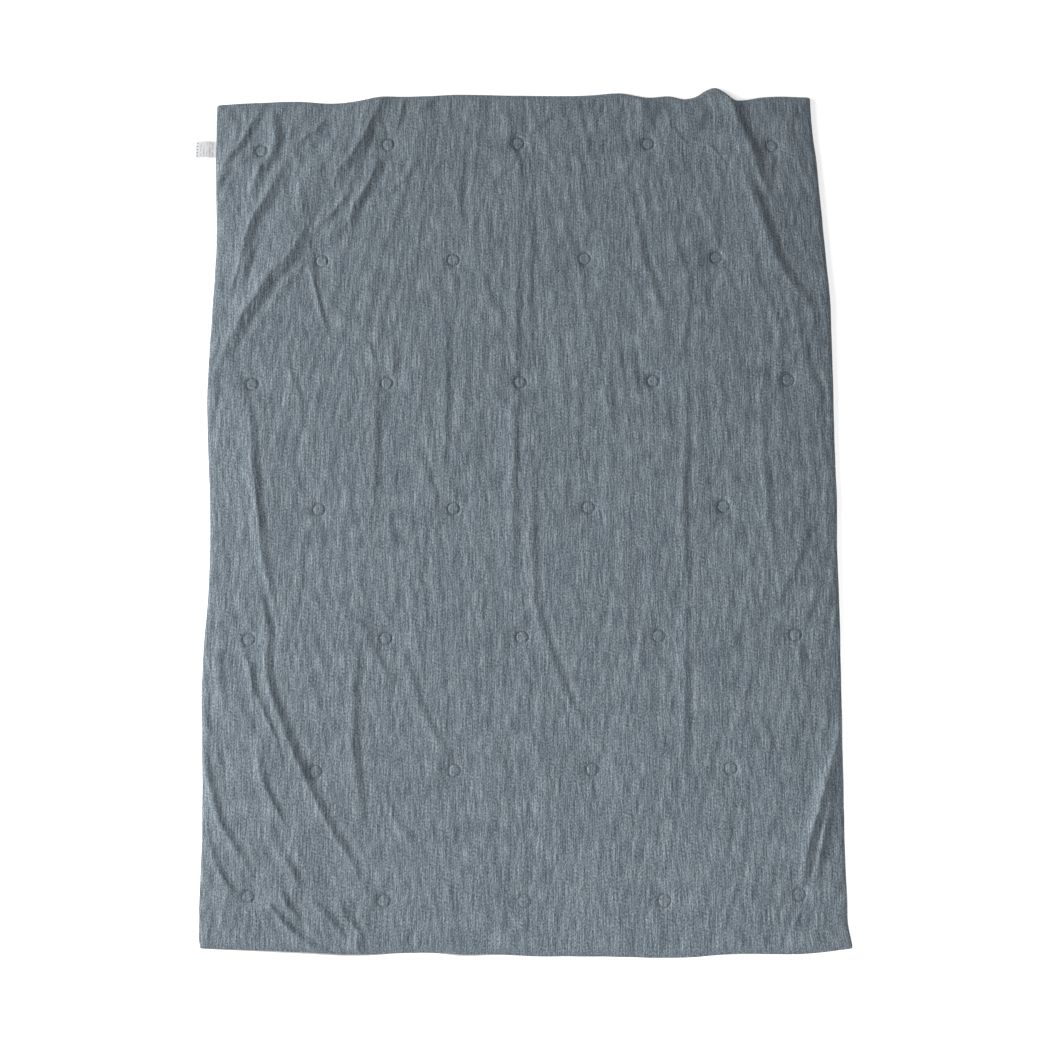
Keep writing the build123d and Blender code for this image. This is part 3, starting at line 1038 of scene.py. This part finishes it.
def satin():
    """Woven satin ribbon with faint generic marks: short bars, and a row of dots near the fold."""
    n = Nodes("satin")
    at = weave_vector(n)
    split = n.add("ShaderNodeSeparateXYZ", {"Vector": at})
    along, across = split.outputs["X"], split.outputs["Y"]
    ribs = n.noise(at, (2600, 300, 1), 2, 0.5)
    line = n.math("FRACT", n.math("MULTIPLY", along, 1 / BAR_PITCH), 0)
    on_line = n.math("LESS_THAN", n.math("ABSOLUTE", n.math("SUBTRACT", line, 0.5), 0), 0.15)
    words = n.math("GREATER_THAN", n.noise(at, (139, 95, 1), 1, 0.5), 0.46)
    off_middle = n.math("ABSOLUTE", across, 0)
    inside = n.math("LESS_THAN", off_middle, BARS_FROM_MIDDLE)
    span = n.math("COMPARE", along, BARS_AT, BARS_REACH)
    bars = n.math("MULTIPLY", n.math("MULTIPLY", on_line, words), n.math("MULTIPLY", inside, span))
    dot_y = n.math("FRACT", n.math("MULTIPLY_ADD", across, 1 / DOT_PITCH, 0.5), 0)
    dot_y = n.math("SUBTRACT", dot_y, 0.5)
    dot_x = n.math("MULTIPLY", n.math("SUBTRACT", along, DOTS_AT), 1 / DOT_PITCH)
    distance = n.math("ADD", n.math("MULTIPLY", dot_y, dot_y), n.math("MULTIPLY", dot_x, dot_x))
    in_row = n.math("LESS_THAN", off_middle, DOTS_FROM_MIDDLE)
    dots = n.math("MULTIPLY", n.math("LESS_THAN", distance, 0.045), in_row)
    print_mark = n.math("ADD", n.math("MULTIPLY", bars, 0.45), n.math("MULTIPLY", dots, 0.85))
    ground = n.ramp(ribs, [(0.3, srgb(205, 206, 209)), (0.7, srgb(226, 227, 229))])
    ink = (*srgb(85, 88, 92), 1)
    mixed = n.add("ShaderNodeMix", {"Factor": print_mark, 6: ground, 7: ink}, data_type="RGBA")
    bump = n.add("ShaderNodeBump", {"Height": ribs, "Strength": 0.3, "Distance": 0.1 * MM})
    return n.finish(base_color=mixed.outputs[2], roughness=0.42, normal=bump.outputs[0], sheen_weight=0.1)


def make_camera():
    """The photograph's camera."""
    data = bpy.data.cameras.new("camera")
    data.lens = CAMERA_LENS
    camera = bpy.data.objects.new("camera", data)
    turn = Matrix.Rotation(CAMERA_TILT, 4, "X") @ Matrix.Rotation(CAMERA_ROLL, 4, "Z")
    back = turn @ Matrix.Translation((0, 0, CAMERA_DISTANCE))
    camera.matrix_world = Matrix.Translation(CAMERA_AIM) @ back
    bpy.context.scene.collection.objects.link(camera)
    bpy.context.scene.camera = camera


def make_stage():
    """A white floor under a pale sky."""
    mesh = bpy.data.meshes.new("floor")
    size = 12.0
    corners = [(-size, -size, 0), (size, -size, 0), (size, size, 0), (-size, size, 0)]
    mesh.from_pydata(corners, [], [(0, 1, 2, 3)])
    floor = new_object("floor", mesh)
    n = Nodes("floor")
    white = n.finish(base_color=(FLOOR_WHITE, FLOOR_WHITE, FLOOR_WHITE, 1), roughness=0.9,
                     emission_strength=FLOOR_GLOW, emission_color=(1, 1, 1, 1))
    mesh.materials.append(white)


def make_lights():
    """A pale sky, one broad soft key from the left and two panels."""
    world = bpy.data.worlds.new("studio")
    world.use_nodes = True
    world.node_tree.nodes["Background"].inputs["Color"].default_value = (1, 1, 1, 1)
    world.node_tree.nodes["Background"].inputs["Strength"].default_value = SKY
    bpy.context.scene.world = world
    data = bpy.data.lights.new("key", "SUN")
    data.energy = KEY
    data.angle = math.radians(KEY_SOFTNESS)
    light = new_object("key", data)
    turn, rise = math.radians(KEY_FROM), math.radians(KEY_ELEVATION)
    towards = Vector((math.cos(turn) * math.cos(rise), math.sin(turn) * math.cos(rise), math.sin(rise)))
    light.matrix_world = towards.to_track_quat("Z", "Y").to_matrix().to_4x4()
    for name, (energy, place, size) in PANELS.items():
        data = bpy.data.lights.new(name, "AREA")
        data.energy = energy
        data.size = size
        panel = new_object(name, data)
        towards = Vector(place)
        turned = towards.to_track_quat("Z", "Y").to_matrix().to_4x4()
        panel.matrix_world = Matrix.Translation(towards) @ turned
        panel.visible_camera = False
    bpy.context.scene.view_settings.view_transform = "Standard"


make_camera()
make_lights()
make_stage()
face = make_face()
face.data.materials.append(heather())
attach(face, "quilt")
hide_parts("face_panel")
back = make_back()
back.data.materials.append(white_back())
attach(back, "quilt")
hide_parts("back_panel")
batting = make_batting(face)
batting.data.materials.append(wadding())
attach(batting, "quilt")
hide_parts("fill_batting")
tack_grey = thread("tack_thread_grey", srgb(66, 75, 84))
tack_white = thread("tack_thread_white", srgb(222, 222, 222))
for node in sorted(TACKS):
    tack, slots = make_tack(node)
    tack.data.materials.append(tack_grey)
    tack.data.materials.append(tack_white)
    tack.data.polygons.foreach_set("material_index", slots)
seam = make_edge_seam()
seam_thread = thread("seam_thread", srgb(150, 155, 160))
for piece, node in ((seam, "edge_seam_thread"), (make_closing_seam(), "closing_seam_thread")):
    piece.data.materials.append(seam_thread)
    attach(piece, "quilt")
    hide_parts(node)
make_label()
